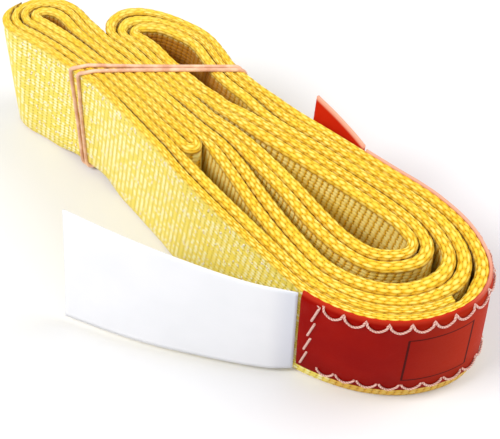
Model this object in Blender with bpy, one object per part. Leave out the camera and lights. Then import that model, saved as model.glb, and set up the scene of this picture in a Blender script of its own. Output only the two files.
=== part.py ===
# Endless web sling, folded on edge, with its tag, label, sewing and a doubled rubber band.
# Metres, +Z up. X runs along the bundle to the tagged end, Y to the back, and it stands on the
# lower edge of its webbing.
import math

import bpy
import numpy as np

MM = 0.001

# Webbing: one inch wide strip, in lanes side by side at the waist.
WEB_WIDTH = 25.4 * MM
WEB_THICKNESS = 0.9 * MM
WEB_CHAMFER = 0.25 * MM
LANE_GAP = 0.46 * MM
LANE_PITCH = WEB_THICKNESS + LANE_GAP
FRONT_LANE_Y = -9.6 * MM
FRONT_SPREAD = 1.5 * MM
SPREAD_LANES = 6
LOBE_HOLLOW = 3.35 * MM
HOLLOW_LANE = 10
WAIST_RIGHT = 14 * MM
WAIST_LEFT = 0 * MM
LEFT_LOBE_ROOT = -6 * MM
RIGHT_LOBE_ROOT = 9.5 * MM
HAIRPIN_ROOT = 9.5 * MM
CORNER_PULL = (-0.3 * MM, -0.27 * MM)
CORNER_WIDTH = 4.5 * MM
TURN_STEP = 0.2
RUN_STEP = 6.4 * MM
PRESS_STEPS = 2
FINE_STEP = 0.25 * MM
CURVE_SAMPLES = 24

# Rubber band: two rounds in one slanting upright plane, in a dent of the webbing's edges.
BAND_DIAMETER = 0.8 * MM
BAND_ROUND_OFFSET = 0.85 * MM
BAND_FRONT_X = -9.3 * MM
BAND_BACK_X = 9.0 * MM
BAND_FRONT_EASE = 0.3 * MM
BAND_CORNER = 1.0 * MM
BAND_CROSSING = 1.6 * MM
BAND_CORNER_STEPS = 4
BAND_CROSSING_STEPS = 8
BAND_SLIDE = 3 * MM
DENT_BELOW = 1.3 * MM
DENT_ABOVE = 0.4 * MM
DENT_RAMP = 4 * MM

# Sewn pieces.
FIT_GAP = 0.3 * MM
THREAD_DIAMETER = 0.45 * MM
SPLICE_ROWS = 4
SPLICE_STITCH = 5 * MM
SPLICE_SWAY = 0.7 * MM
SPLICE_FROM_X = 44 * MM
SPLICE_TO_X = -24 * MM
SPLICE_BENDS = 2
LAP_START_X = 61.6 * MM
TAG_THICKNESS = 0.45 * MM
TAG_BOTTOM = 2.6 * MM
TAG_PROUD = 0.2 * MM
TAG_TOP = WEB_WIDTH + TAG_PROUD
TAG_FRONT_X = 50.6 * MM
TAG_BACK_X = 37.6 * MM
TAG_STITCH = 3.2 * MM
TAG_SCALLOP = 1.8 * MM
TAG_SEAM_INSET = 2.2 * MM
TAG_SEAM_TOP = 0.5 * MM
TAG_SEAM_END = 3.5 * MM
TAG_SCALLOP_BENDS = 4
LABEL_THICKNESS = 0.35 * MM
LABEL_BOTTOM = 1.4 * MM
LABEL_DROP = 0.4 * MM
LABEL_TOP = WEB_WIDTH - LABEL_DROP
LABEL_LEAN = 3.0 * MM
HINGE_GAP = 0.5 * MM
SHEET_STEP = 1.8 * MM

# Plan points in millimetres, chosen by eye on the folded bundle.
LEFT_LOBE = [(-12, -6.15), (-17, -6.8), (-23, -7.75), (-25.5, -8.15), (-26.6, -7.6), (-26.7, -6.5),
             (-25.4, -4.85), (-22.8, -4.0), (-17.5, -4.5), (-12, -4.7)]
LEFT_CORNER = (-28.4, -10.1)
RIGHT_LOBE = [(4, 2.66), (0, 2.67), (-5, 2.67), (-10.2, 2.4), (-12.5, 2.35), (-13.4, 3.4), (-12.4, 4.9),
              (-9.4, 6.8), (-5.2, 8.3), (-1, 9.1), (3.5, 8.4), (7, 7.6)]
HAIRPIN = [(12.6, -7.9), (15.2, -8.1), (17.0, -8.05), (17.9, -7.1), (17.0, -6.15), (15.2, -6.1),
           (12.6, -6.2)]
OUTER_TURN = [(22, 10.35), (32, 11.5), (42, 12.7), (52, 13.8), (60, 12.8), (65.8, 9.4), (67.7, 4.4),
              (65.4, -3.4), (59.6, -9.6), (51, -13.0), (42, -13.2), (33, -12.8), (24, -12.25), (19, -11.8)]
INNER_TURN = [(22, 2.9), (32, 4.4), (40.5, 5.5), (47.5, 6.15), (52.2, 6.1), (54.9, 5.0), (55.6, 3.2),
              (54.4, 0.8), (51.9, -1.2), (47.4, -2.0), (42, -1.6), (34.5, -0.6), (25.5, 0.2), (20, 0.4)]
LABEL_ROUTE = [(43.6, -19.0), (33.5, -24.8), (25, -29.0), (14.2, -33.5)]
TAIL_ROUTE = [(33.8, 14.0), (28.6, 14.95), (23.6, 15.6)]

# The three turns between the inner and the outer one, as shares of the way out at each plan point.
RING_SHARES = {
    1: (0.25, 0.25, 0.25, 0.22, 0.2, 0.19, 0.17, 0.155, 0.16, 0.155, 0.165, 0.13, 0.12, 0.12),
    2: (0.5, 0.5, 0.5, 0.5, 0.5, 0.51, 0.515, 0.535, 0.525, 0.54, 0.51, 0.45, 0.335, 0.28),
    3: (0.75, 0.75, 0.73, 0.7, 0.7, 0.705, 0.72, 0.745, 0.725, 0.71, 0.67, 0.59, 0.465, 0.41),
}
OUTER_RING = 4
INNER_BACK_LANE = 8
INNER_FRONT_LANE = 7
HAIRPIN_LANE = 2
LEFT_LOBE_LANE = 3
RIGHT_LOBE_LANE = 9
BACK_LANE = 12
LAP_ROUND = 3


def clear_scene():
    for item in list(bpy.data.objects):
        bpy.data.objects.remove(item, do_unlink=True)


def lane_y(lane):
    hollow = LOBE_HOLLOW if lane >= HOLLOW_LANE else 0
    return FRONT_LANE_Y + lane * LANE_PITCH + hollow


def spread_y(lane):
    # The front lanes fan out to the front as they run from the band to the tagged end.
    return lane_y(lane) - FRONT_SPREAD * max(0, 1 - lane / SPREAD_LANES)


def between(a, b, start, end, t):
    return ((end - t) * a + (t - start) * b) / (end - start)


def smooth_line(points, step=FINE_STEP):
    # A centripetal Catmull-Rom curve through the points, read at even steps.
    p = np.asarray(points, float)
    p = np.vstack([2 * p[0] - p[1], p, 2 * p[-1] - p[-2]])
    out = []
    for i in range(1, len(p) - 2):
        quad = p[i - 1:i + 3]
        knots = np.concatenate([[0], np.cumsum(np.linalg.norm(np.diff(quad, axis=0), axis=1) ** 0.5)])
        t = np.linspace(knots[1], knots[2], CURVE_SAMPLES, endpoint=False)[:, None]
        a = [between(quad[k], quad[k + 1], knots[k], knots[k + 1], t) for k in range(3)]
        b = [between(a[k], a[k + 1], knots[k], knots[k + 2], t) for k in range(2)]
        out.append(between(b[0], b[1], knots[1], knots[2], t))
    return even(np.vstack(out + [p[-2:-1]]), step)


def lengths(line):
    return np.concatenate([[0], np.cumsum(np.linalg.norm(np.diff(line, axis=0), axis=1))])


def even(line, step):
    along = lengths(line)
    at = np.linspace(0, along[-1], max(3, int(round(along[-1] / step)) + 1))
    return np.column_stack([np.interp(at, along, line[:, k]) for k in range(line.shape[1])])


def normals(line):
    tangent = np.gradient(line, axis=0)
    tangent /= np.linalg.norm(tangent, axis=1)[:, None]
    return np.column_stack([tangent[:, 1], -tangent[:, 0]])


def offset(line, distance):
    # To the right of the way the line runs, or to the left where the distance is negative.
    return line + normals(line) * np.asarray(distance).reshape(-1, 1)


def loop_line(points, x, first_lane):
    # A loop from one lane to the next, through its plan points.
    height = spread_y if x > WAIST_LEFT else lane_y
    ends = [(x, height(first_lane)), (x, height(first_lane + 1))]
    return smooth_line(np.vstack([ends[:1], np.array(points) * MM, ends[1:]]))


def left_lobe(round_out):
    # From the front lane to the back lane, round_out lanes outside the innermost, with the outer
    # rounds drawn out at the front corner.
    line = offset(loop_line(LEFT_LOBE, LEFT_LOBE_ROOT, LEFT_LOBE_LANE), -round_out * LANE_PITCH)
    away = np.linalg.norm(line - np.array(LEFT_CORNER) * MM, axis=1)
    share = round_out * np.exp(-(away / CORNER_WIDTH) ** 2)
    return line + share[:, None] * np.array(CORNER_PULL)


def right_lobe(round_out):
    return offset(loop_line(RIGHT_LOBE, RIGHT_LOBE_ROOT, RIGHT_LOBE_LANE), -round_out * LANE_PITCH)


def end_turn(ring):
    # A turn at the tagged end, from its back lane to its front lane: ring 0 is the innermost.
    outer = np.array(OUTER_TURN) * MM
    inner = np.array(INNER_TURN) * MM
    share = np.array(RING_SHARES.get(ring, [ring / OUTER_RING] * len(outer)))
    body = inner + (outer - inner) * share[:, None]
    front_lane = INNER_FRONT_LANE - ring if ring < OUTER_RING else 0
    ends = [(WAIST_RIGHT, lane_y(INNER_BACK_LANE + ring)), (WAIST_RIGHT, spread_y(front_lane))]
    return smooth_line(np.vstack([ends[:1], body, ends[1:]]))


def front_lap_start(outer):
    # The inner end of the lap follows the outer run, one lane behind it, from under the tag.
    front = outer[len(outer) // 2:]
    front = front[front[:, 0] < LAP_START_X]
    return offset(front, LANE_PITCH)


def folded_route():
    turns = [end_turn(ring) for ring in range(OUTER_RING + 1)]
    hairpin = loop_line(HAIRPIN, HAIRPIN_ROOT, HAIRPIN_LANE)
    tip = left_lobe(LAP_ROUND)
    lap_end = tip[:int(np.argmin(tip[:, 0])) + 1]
    pieces = [
        front_lap_start(turns[OUTER_RING]), left_lobe(2), turns[1][::-1], right_lobe(0), turns[2],
        left_lobe(1)[::-1], hairpin, left_lobe(0), turns[3][::-1], right_lobe(1)[::-1],
        turns[0], right_lobe(2), turns[OUTER_RING], lap_end,
    ]
    route = pieces[0]
    for piece in pieces[1:]:
        join = even(np.array([route[-1], piece[0]]), FINE_STEP)[1:-1]
        route = np.vstack([route, join, piece])
    return even(route, FINE_STEP), turns, tip


def band_plane():
    # Along the band in plan, square to it, and a point on it.
    front = np.array([BAND_FRONT_X, lane_y(0)])
    back = np.array([BAND_BACK_X, lane_y(BACK_LANE)])
    along = (back - front) / np.linalg.norm(back - front)
    return along, np.array([along[1], -along[0]]), (front + back) / 2


def dent(points):
    # 1 under the band and as far as it slides to the right, falling smoothly to 0 beside it.
    _, across, centre = band_plane()
    slide = np.array([BAND_SLIDE / 2, 0])
    flat = abs(slide @ across) + BAND_ROUND_OFFSET + BAND_DIAMETER
    away = np.abs((points - centre - slide) @ across)
    share = np.clip(1 - (away - flat) / DENT_RAMP, 0, 1)
    return share * share * (3 - 2 * share)


def stations(line):
    # Fewer points on straight runs, more in turns and beside the band.
    heading = np.unwrap(np.arctan2(*np.gradient(line, axis=0).T[::-1]))
    pressed = dent(line)
    along = lengths(line)
    bend = np.concatenate([[0], np.cumsum(np.abs(np.diff(heading)))])
    press = np.concatenate([[0], np.cumsum(np.abs(np.diff(pressed)))])
    effort = along / RUN_STEP + bend / TURN_STEP + press * PRESS_STEPS
    at = np.linspace(0, effort[-1], int(effort[-1]) + 1)
    place = np.interp(at, effort, along)
    return np.column_stack([np.interp(place, along, line[:, k]) for k in range(2)])


def least_gap(line):
    # The least gap between two stretches of the strip that aren't next to each other on it.
    fine = even(line, FINE_STEP)
    along = lengths(fine)
    least = 1.0
    for i, point in enumerate(fine):
        far = np.abs(along - along[i]) > 4 * WEB_THICKNESS
        away = np.linalg.norm(fine[far] - point, axis=1)
        least = min(least, float(away.min()))
    return least - WEB_THICKNESS


def material(name, colour, roughness):
    m = bpy.data.materials.new(name)
    m.use_nodes = True
    shader = m.node_tree.nodes["Principled BSDF"]
    shader.inputs["Base Color"].default_value = (*colour, 1)
    shader.inputs["Roughness"].default_value = roughness
    shader.inputs["Metallic"].default_value = 0
    return m


def add(name, data, look, root, place=(0, 0, 0)):
    item = bpy.data.objects.new(name, data)
    bpy.context.scene.collection.objects.link(item)
    data.materials.append(look)
    item.parent = root
    item.location = place
    return item


def strip_mesh(name, line):
    # A chamfered oblong section swept along the line; its edges dip in under the band.
    side = normals(line)
    pressed = dent(line)
    half = WEB_THICKNESS / 2
    low = DENT_BELOW * pressed
    high = WEB_WIDTH - DENT_ABOVE * pressed
    section = [(-half, low + WEB_CHAMFER), (-half, high - WEB_CHAMFER), (-half + WEB_CHAMFER, high),
               (half - WEB_CHAMFER, high), (half, high - WEB_CHAMFER), (half, low + WEB_CHAMFER),
               (half - WEB_CHAMFER, low), (-half + WEB_CHAMFER, low)]
    rings = np.stack([np.column_stack([line + side * out, height]) for out, height in section], axis=1)
    count = len(section)
    verts = rings.reshape(-1, 3)
    faces = []
    for i in range(len(line) - 1):
        for k in range(count):
            a = i * count + k
            b = i * count + (k + 1) % count
            faces.append((a, b, b + count, a + count))
    faces.append(tuple(range(count))[::-1])
    faces.append(tuple(range((len(line) - 1) * count, len(line) * count)))
    mesh = bpy.data.meshes.new(name)
    mesh.from_pydata(verts.tolist(), [], faces)
    mesh.update()
    return mesh


def sheet(name, line, bottom, top, thickness, look, root, place, lean=0.0):
    # An upright sheet along a plan line, thickened to both sides; lean tips it more and more.
    share = (lengths(line) / lengths(line)[-1])[:, None]
    tip = normals(line) * lean * share
    local = np.asarray(place[:2])
    low = np.column_stack([line - tip - local, np.full(len(line), bottom)])
    high = np.column_stack([line + tip - local, np.full(len(line), top)])
    verts = np.vstack([low, high])
    n = len(line)
    faces = [(i, i + 1, n + i + 1, n + i) for i in range(n - 1)]
    mesh = bpy.data.meshes.new(name)
    mesh.from_pydata(verts.tolist(), [], faces)
    mesh.update()
    item = add(name, mesh, look, root, place)
    solid = item.modifiers.new("thickness", "SOLIDIFY")
    solid.thickness = thickness
    solid.offset = 0
    solid.use_even_offset = True
    return item


def tube(name, points, diameter, look, root, cyclic=False, sides=4):
    curve = bpy.data.curves.new(name, "CURVE")
    curve.dimensions = "3D"
    curve.bevel_depth = diameter / 2
    curve.bevel_resolution = (sides - 4) // 2
    curve.use_fill_caps = True
    spline = curve.splines.new("POLY")
    spline.points.add(len(points) - 1)
    spline.points.foreach_set("co", np.column_stack([points, np.ones(len(points))]).ravel())
    spline.use_cyclic_u = cyclic
    return add(name, curve, look, root)


def stitch_row(line, out, height, sway, stitch, per_stitch, hook):
    # Thread on the face of a plan line, swaying in height once a stitch; hook makes it a scallop.
    total = lengths(line)[-1]
    count = max(1, int(round(total / stitch)))
    row = even(offset(line, out), total / (count * per_stitch))
    phase = np.linspace(0, count, len(row)) % 1.0
    wave = np.abs(np.sin(np.pi * phase)) if hook else 0.5 - np.abs(2 * phase - 1)
    return np.column_stack([row, height - sway * wave])


def band_points():
    # Two rounds of a rounded oblong, changing sides on the back face, where one passes outside.
    along, across, centre = band_plane()
    face = WEB_THICKNESS / 2 + FIT_GAP + BAND_DIAMETER / 2
    front = lane_y(0) - face - FIT_GAP - THREAD_DIAMETER - BAND_FRONT_EASE
    back = lane_y(BACK_LANE) + face
    reach = {-1: (front - centre[1]) / along[1], 1: (back - centre[1]) / along[1]}
    level = {-1: DENT_BELOW - FIT_GAP - BAND_DIAMETER / 2,
             1: WEB_WIDTH - DENT_ABOVE + FIT_GAP + BAND_DIAMETER / 2}
    drop = level[1] - level[-1] - 2 * BAND_CORNER
    points = []
    for lap in (0, 1):
        side = 1 - 2 * lap
        for end, height, start in ((-1, -1, 270), (-1, 1, 180), (1, 1, 90), (1, -1, 0)):
            if (end, height) == (1, -1):
                side = -side
            for step in range(BAND_CORNER_STEPS + 1):
                angle = math.radians(start - step * 90 / BAND_CORNER_STEPS)
                points.append((reach[end] + BAND_CORNER * (math.cos(angle) - end),
                               level[height] + BAND_CORNER * (math.sin(angle) - height), side))
            if (end, height) == (1, 1):
                for share in np.linspace(0, 1, BAND_CROSSING_STEPS + 1)[1:-1]:
                    swap = share * share * (3 - 2 * share)
                    lift = BAND_CROSSING * lap * math.sin(math.pi * share) ** 2
                    height_now = level[1] - BAND_CORNER - drop * share
                    points.append((reach[1] + lift, height_now, side * (1 - 2 * swap)))
    points = np.array(points)
    plan = centre + points[:, :1] * along + points[:, 2:] * [BAND_ROUND_OFFSET / across[0], 0]
    return np.column_stack([plan, points[:, 1]])


def face_point(line, x, out):
    # The place on a face of a plan line nearest to x, and out from its middle.
    shifted = offset(line, -out)
    return shifted[int(np.argmin(np.abs(shifted[:, 0] - x)))]


def centre_on_origin(root):
    bpy.context.view_layer.update()
    graph = bpy.context.evaluated_depsgraph_get()
    corners = []
    for item in bpy.data.objects:
        if item.type in {"MESH", "CURVE"}:
            shown = item.evaluated_get(graph)
            mesh = shown.to_mesh()
            corners += [shown.matrix_world @ v.co for v in mesh.vertices]
            shown.to_mesh_clear()
    corners = np.array(corners)
    middle = (corners.min(axis=0) + corners.max(axis=0)) / 2
    root.location = (-middle[0], -middle[1], 0)
    print("size mm", np.round((corners.max(axis=0) - corners.min(axis=0)) / MM, 2))
    return middle


clear_scene()
root = bpy.data.objects.new("sling_frame", None)
bpy.context.scene.collection.objects.link(root)

yellow = material("yellow_polyester", (0.87, 0.52, 0.03), 0.75)
thread_yellow = material("splice_thread", (0.92, 0.86, 0.5), 0.7)
thread_white = material("tag_thread", (0.9, 0.78, 0.74), 0.7)
red = material("red_vinyl", (0.42, 0.012, 0.006), 0.35)
white = material("white_label", (0.88, 0.88, 0.86), 0.5)
tan = material("tan_rubber", (0.72, 0.5, 0.4), 0.6)

# The folded strip.
route, turns, tip = folded_route()
line = stations(route)
print("strip length m", round(float(lengths(route)[-1]), 4), "stations", len(line))
print("least gap mm", round(least_gap(line) / MM, 3))
add("webbing", strip_mesh("webbing", line), yellow, root)

# Sewing of the lap, on the outer face of the front run.
outer = turns[OUTER_RING]
half_way = int(np.argmax(outer[:, 0]))
front_run = outer[half_way:]
on_web = WEB_THICKNESS / 2 + FIT_GAP
lap = np.vstack([front_run[front_run[:, 0] < SPLICE_FROM_X], tip[:int(np.argmin(tip[:, 0]))]])
lap = even(lap[lap[:, 0] > SPLICE_TO_X], FINE_STEP)
for row in range(SPLICE_ROWS):
    height = WEB_WIDTH * (row + 1) / (SPLICE_ROWS + 1)
    out = -on_web - THREAD_DIAMETER / 2
    thread = stitch_row(lap, out, height, SPLICE_SWAY, SPLICE_STITCH, SPLICE_BENDS, False)
    tube(f"splice_thread_{row + 1}", thread, THREAD_DIAMETER, thread_yellow, root)

# Tag round the outer turn, and its stitches.
back_run = outer[:half_way]
sewn = np.vstack([back_run[back_run[:, 0] > TAG_BACK_X], front_run[front_run[:, 0] > TAG_FRONT_X]])
tag_line = even(offset(sewn, -on_web - TAG_THICKNESS / 2), SHEET_STEP)
sheet("rating_tag", tag_line, TAG_BOTTOM, TAG_TOP, TAG_THICKNESS, red, root, (0, 0, 0))
on_tag = on_web + TAG_THICKNESS + FIT_GAP + THREAD_DIAMETER / 2
along = lengths(sewn)
seam = sewn[(along > TAG_SEAM_END) & (along < along[-1] - TAG_SEAM_END)]
for name, height in (("upper", TAG_TOP - TAG_SEAM_TOP), ("lower", TAG_BOTTOM + TAG_SEAM_INSET)):
    thread = stitch_row(seam, -on_tag, height, TAG_SCALLOP, TAG_STITCH, TAG_SCALLOP_BENDS, True)
    tube(f"tag_stitch_{name}", thread, THREAD_DIAMETER, thread_white, root)
for name, inset in (("back", TAG_SEAM_INSET), ("front", along[-1] - TAG_SEAM_INSET)):
    row = offset(sewn, -on_tag)[int(np.argmin(np.abs(along - inset)))]
    heights = [TAG_BOTTOM + TAG_SEAM_INSET / 2, TAG_TOP - TAG_SEAM_INSET / 2]
    thread = np.column_stack([np.tile(row, (2, 1)), heights])
    tube(f"tag_stitch_{name}", thread, THREAD_DIAMETER, thread_white, root)

# Free tail of the tag and the label, each on its upright hinge line.
tail_root = face_point(back_run, TAG_BACK_X - TAG_THICKNESS - HINGE_GAP, on_web + TAG_THICKNESS)
tail_line = smooth_line(np.vstack([tail_root, np.array(TAIL_ROUTE) * MM]), SHEET_STEP)
sheet("tag_tail", tail_line, TAG_BOTTOM, TAG_TOP, TAG_THICKNESS, red, root, (*tail_root, 0))
label_root = face_point(front_run, TAG_FRONT_X - TAG_THICKNESS - HINGE_GAP, on_web + HINGE_GAP)
label_line = smooth_line(np.vstack([label_root, np.array(LABEL_ROUTE) * MM]), SHEET_STEP)
sheet("plain_label", label_line, LABEL_BOTTOM, LABEL_TOP, LABEL_THICKNESS, white, root, (*label_root, 0),
      LABEL_LEAN)

# Rubber band.
tube("rubber_band", band_points(), BAND_DIAMETER, tan, root, cyclic=True, sides=8)

middle = centre_on_origin(root)
for name, at in (("tag_tail", tail_root), ("plain_label", label_root), ("rubber_band", band_plane()[2])):
    print("joint", name, "at mm", np.round((at - middle[:2]) / MM, 3))
print("rest point at mm", np.round((line[int(np.argmax(line[:, 0]))] - middle[:2]) / MM, 3))
print("origin is at mm", np.round(middle / MM, 3))
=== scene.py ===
import math

import bpy
import numpy as np
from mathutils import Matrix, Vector


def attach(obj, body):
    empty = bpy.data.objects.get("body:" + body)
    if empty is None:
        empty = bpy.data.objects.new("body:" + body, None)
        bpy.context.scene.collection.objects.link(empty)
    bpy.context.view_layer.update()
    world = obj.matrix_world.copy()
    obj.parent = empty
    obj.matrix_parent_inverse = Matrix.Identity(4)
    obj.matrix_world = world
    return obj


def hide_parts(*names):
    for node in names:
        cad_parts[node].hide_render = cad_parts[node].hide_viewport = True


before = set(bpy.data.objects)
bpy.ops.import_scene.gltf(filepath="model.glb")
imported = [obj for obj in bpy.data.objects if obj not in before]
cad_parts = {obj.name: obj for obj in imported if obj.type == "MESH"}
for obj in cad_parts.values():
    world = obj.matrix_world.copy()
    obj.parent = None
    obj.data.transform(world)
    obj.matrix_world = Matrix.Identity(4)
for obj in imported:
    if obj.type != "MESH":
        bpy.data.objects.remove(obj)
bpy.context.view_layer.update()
mm = 0.001
print("frame loaded:", len(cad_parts), "solids")


# Lines in plan, in millimetres.

def lengthsOf(line):
    return np.concatenate([[0], np.cumsum(np.linalg.norm(np.diff(line, axis=0), axis=1))])


def evenLine(line, step):
    # the same line read at equal steps of its own length
    along = lengthsOf(line)
    at = np.linspace(0, along[-1], max(3, int(round(along[-1] / step)) + 1))
    return np.column_stack([np.interp(at, along, line[:, k]) for k in range(line.shape[1])])


def smoothLine(points, step, perSpan=24):
    # centripetal Catmull-Rom: every span is a blend of blends of the four points round it
    p = np.asarray(points, float)
    p = np.vstack([2 * p[0] - p[1], p, 2 * p[-1] - p[-2]])
    quad = np.stack([p[i:len(p) - 3 + i] for i in range(4)], axis=1)[:, :, None]
    gaps = np.linalg.norm(np.diff(quad, axis=1), axis=3) ** 0.5
    knots = np.concatenate([np.zeros((len(quad), 1, 1)), np.cumsum(gaps, axis=1)], axis=1)[..., None]
    share = np.linspace(0, 1, perSpan, endpoint=False)[None, :, None]
    t = knots[:, 1] + (knots[:, 2] - knots[:, 1]) * share

    def blend(a, b, i, j):
        return ((knots[:, j] - t) * a + (t - knots[:, i]) * b) / (knots[:, j] - knots[:, i])

    first = [blend(quad[:, k], quad[:, k + 1], k, k + 1) for k in range(3)]
    second = [blend(first[k], first[k + 1], k, k + 2) for k in range(2)]
    line = blend(second[0], second[1], 1, 2).reshape(-1, p.shape[1])
    return evenLine(np.vstack([line, p[-2:-1]]), step)


def tangentsOf(line):
    tangent = np.gradient(line, axis=0)
    return tangent / np.linalg.norm(tangent, axis=1)[:, None]


def rightOf(line):
    tangent = tangentsOf(line)
    return np.column_stack([tangent[:, 1], -tangent[:, 0]])


def shifted(line, distance):
    return line + rightOf(line) * np.asarray(distance).reshape(-1, 1)


def smoothed(values, window):
    # running mean, with the ends held
    padded = np.pad(values, window // 2, mode="edge")
    return np.convolve(padded, np.ones(window) / window, mode="valid")[:len(values)]


def lowest(values, window):
    # least value in a running window
    padded = np.pad(values, window // 2, mode="edge")
    return np.lib.stride_tricks.sliding_window_view(padded, window).min(axis=1)[:len(values)]


def ease(x):
    x = np.clip(x, 0, 1)
    return x * x * (3 - 2 * x)


# The folded route: thirteen lanes at the waist, two lobes on the left and nested turns on the right.
fold = {
    "origin": (18.958, -10.304),
    "step": 0.25,
    "pitch": 1.36,          # from one lane to the next
    "frontLaneY": -9.6,
    "backLane": 12,
    "spread": 1.5,          # how far the front lanes fan out
    "fanLanes": 6,
    "hollow": 3.35,         # width of the gap before the hollow lane
    "hollowLane": 10,
    "leftLane": 3,          # inner lane of each loop
    "rightLane": 9,
    "hairpinLane": 2,
    "ringLanes": [(8, 7), (9, 6), (10, 5), (11, 4), (12, 0)],   # back and front lane of each end turn
    "waistRight": 14,
    "leftRoot": -6,
    "rightRoot": 9.5,
    "hairpinRoot": 9.5,
    "leftLobe": [(-12, -6.15), (-17, -6.8), (-23, -7.75), (-25.5, -8.15), (-26.6, -7.6), (-26.7, -6.5),
                 (-25.4, -4.85), (-22.8, -4.0), (-17.5, -4.5), (-12, -4.7)],
    "leftCorner": (-28.4, -10.1),
    "cornerPull": (-0.3, -0.27),
    "cornerWidth": 4.5,
    "rightLobe": [(4, 2.66), (0, 2.67), (-5, 2.67), (-10.2, 2.4), (-12.5, 2.35), (-13.4, 3.4), (-12.4, 4.9),
                  (-9.4, 6.8), (-5.2, 8.3), (-1, 9.1), (3.5, 8.4), (7, 7.6)],
    "lobeTip": (-14.5, 3.0),
    "tipPull": (2.8, 1.4, 0.2),
    "tipWidth": 6.0,
    "hairpin": [(12.6, -7.9), (15.2, -8.1), (17.0, -8.05), (17.9, -7.1), (17.0, -6.15), (15.2, -6.1),
                (12.6, -6.2)],
    "outer": [(22, 10.35), (32, 11.5), (42, 12.7), (52, 13.8), (60, 12.8), (65.8, 9.4), (67.7, 4.4),
              (65.4, -3.4), (59.6, -9.6), (51, -13.0), (42, -13.2), (33, -12.8), (24, -12.25), (19, -11.8)],
    "inner": [(22, 2.9), (32, 4.4), (40.5, 5.5), (47.5, 6.15), (52.2, 6.1), (54.9, 5.0), (55.6, 3.2),
              (54.4, 0.8), (51.9, -1.2), (47.4, -2.0), (42, -1.6), (34.5, -0.6), (25.5, 0.2), (20, 0.4)],
    "shares": {             # way out from the inner turn, point by point, for the middle rings
        1: (0.25, 0.25, 0.25, 0.22, 0.2, 0.19, 0.17, 0.155, 0.16, 0.155, 0.165, 0.13, 0.12, 0.12),
        2: (0.5, 0.5, 0.5, 0.5, 0.5, 0.51, 0.515, 0.535, 0.525, 0.54, 0.51, 0.45, 0.335, 0.28),
        3: (0.75, 0.75, 0.73, 0.7, 0.7, 0.705, 0.72, 0.745, 0.725, 0.71, 0.67, 0.59, 0.465, 0.41),
    },
    "lapFromX": 67.3,
}


def laneY(lane):
    return fold["frontLaneY"] + lane * fold["pitch"] + (fold["hollow"] if lane >= fold["hollowLane"] else 0)


def spreadY(lane):
    # front lanes fan out on their way to the tagged end
    return laneY(lane) - fold["spread"] * max(0, 1 - lane / fold["fanLanes"])


def loopLine(points, x, firstLane, placeOf=laneY):
    # out along one lane, round the points and back along the next lane
    ends = [(x, placeOf(firstLane)), (x, placeOf(firstLane + 1))]
    return smoothLine(np.vstack([ends[:1], points, ends[1:]]), fold["step"])


def leftLobe(out):
    # the outer rounds are drawn out at the front corner
    line = loopLine(fold["leftLobe"], fold["leftRoot"], fold["leftLane"])
    line = shifted(line, -out * fold["pitch"])
    away = np.linalg.norm(line - fold["leftCorner"], axis=1)
    share = out * np.exp(-(away / fold["cornerWidth"]) ** 2)
    return line + share[:, None] * fold["cornerPull"]


def rightLobe(out):
    # the inner rounds draw back from the lobe's tip
    line = loopLine(fold["rightLobe"], fold["rightRoot"], fold["rightLane"])
    line = shifted(line, -out * fold["pitch"])
    away = np.linalg.norm(line - fold["lobeTip"], axis=1)
    pull = fold["tipPull"][out] * np.exp(-(away / fold["tipWidth"]) ** 2)
    return line + np.column_stack([pull, 0 * pull])


def endTurn(ring):
    # nested turns: each point lies a share of the way from the inner turn to the outer one
    outer, inner = np.array(fold["outer"], float), np.array(fold["inner"], float)
    evenShare = ring / (len(fold["ringLanes"]) - 1)
    share = np.array(fold["shares"].get(ring, [evenShare] * len(outer)))
    body = inner + (outer - inner) * share[:, None]
    backLane, frontLane = fold["ringLanes"][ring]
    ends = [(fold["waistRight"], laneY(backLane)), (fold["waistRight"], spreadY(frontLane))]
    return smoothLine(np.vstack([ends[:1], body, ends[1:]]), fold["step"])


def foldedRoute():
    # the strip from its inner end to its outer one, and where the inner rounds of the two lobes lie along it
    turns = [endTurn(ring) for ring in range(len(fold["ringLanes"]))]
    hairpin = loopLine(fold["hairpin"], fold["hairpinRoot"], fold["hairpinLane"], spreadY)
    tip = leftLobe(3)
    lapEnd = tip[:int(np.argmin(tip[:, 0])) + 1]
    front = turns[-1][len(turns[-1]) // 2:]
    lapStart = shifted(front[front[:, 0] < fold["lapFromX"]], fold["pitch"])
    pieces = [lapStart, leftLobe(2), turns[1][::-1], rightLobe(0), turns[2], leftLobe(1)[::-1], hairpin,
              leftLobe(0), turns[3][::-1], rightLobe(1)[::-1], turns[0], rightLobe(2), turns[4], lapEnd]
    innerRounds = (3, 7)
    whole = np.vstack(pieces)
    along = lengthsOf(whole)
    starts = np.cumsum([0] + [len(piece) for piece in pieces])
    eyes = [(along[starts[k]], along[starts[k + 1] - 1]) for k in innerRounds]
    return evenLine(whole, fold["step"]), turns[-1], tip, eyes


route, outerTurn, leftTip, lobeEyes = foldedRoute()
stripLength = lengthsOf(route)[-1]
print("folded route", round(stripLength), "mm")

# Where the band presses the edges in.
bandLie = {"frontX": -9.3, "backX": 9.0, "slide": 3.0, "offset": 0.85, "width": 0.8, "ramp": 4.0,
           "below": 1.3, "above": 0.4}
bandFront = np.array([bandLie["frontX"], laneY(0)])
bandBack = np.array([bandLie["backX"], laneY(fold["backLane"])])
bandAlong = (bandBack - bandFront) / np.linalg.norm(bandBack - bandFront)
bandAcross = np.array([bandAlong[1], -bandAlong[0]])
bandMiddle = (bandFront + bandBack) / 2


def pressedAt(points):
    # 1 beside the band, easing to 0 past the stretch it can slide over
    slide = np.array([bandLie["slide"] / 2, 0])
    flat = abs(slide @ bandAcross) + bandLie["offset"] + bandLie["width"]
    return ease(1 - (np.abs((points - bandMiddle - slide) @ bandAcross) - flat) / bandLie["ramp"])


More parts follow.
